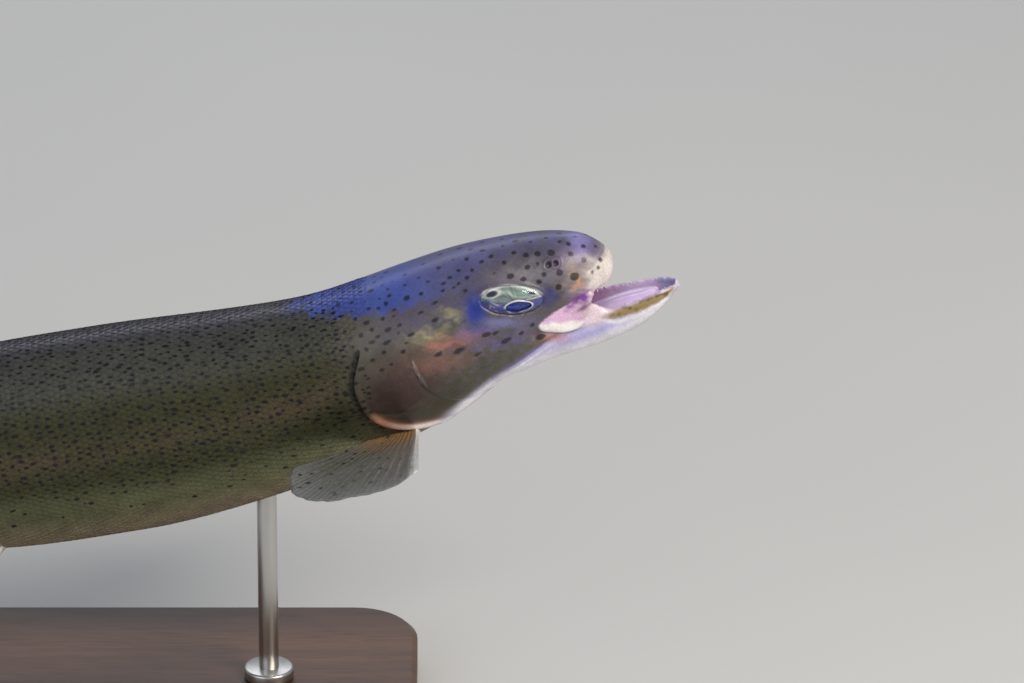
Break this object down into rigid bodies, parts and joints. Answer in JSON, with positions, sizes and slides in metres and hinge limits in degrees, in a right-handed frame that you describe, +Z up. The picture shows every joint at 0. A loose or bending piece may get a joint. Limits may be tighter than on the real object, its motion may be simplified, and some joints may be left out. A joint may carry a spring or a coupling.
{
  "type": "rainbow trout model",
  "caption": "Life-size still model of a rainbow trout rising with its mouth open and its tail curving aside, held over a flat base by short rods.",
  "frame": {"origin": "centre of the flat underside of the stand's base, below the fish's middle", "axes": "+X towards the fish's snout and along the base, +Y to the fish's left, +Z up"},
  "size_m": [0.3942, 0.1075, 0.1586],
  "materials": {
    "head_skin": "glossy",
    "jaw_skin": "glossy",
    "lip_skin": "glossy",
    "gill_cover_skin": "glossy",
    "mouth_lining": "satin",
    "eye": "mirror-smooth",
    "body_skin": "glossy",
    "fin": "satin",
    "stand_base": "satin dark stain",
    "stand_rod": "brushed"
  },
  "bodies": {
    "root": {"head": "head_skin", "lower_jaw": "jaw_skin", "throat": "jaw_skin", "maxilla_left": "lip_skin", "maxilla_right": "lip_skin", "gill_cover_left": "gill_cover_skin", "gill_cover_right": "gill_cover_skin", "tongue": "mouth_lining", "eye_left": "eye", "eye_right": "eye", "trunk_front": "body_skin", "trunk_rear": "body_skin", "tail_stalk": "body_skin", "dorsal_fin": "fin", "adipose_fin": "fin", "anal_fin": "fin", "tail_fin": "fin", "pectoral_fin_left": "fin", "pectoral_fin_right": "fin", "pelvic_fin_left": "fin", "pelvic_fin_right": "fin", "stand_base": "stand_base", "stand_rod_front": "stand_rod", "stand_rod_rear": "stand_rod"}
  },
  "joints": []
}
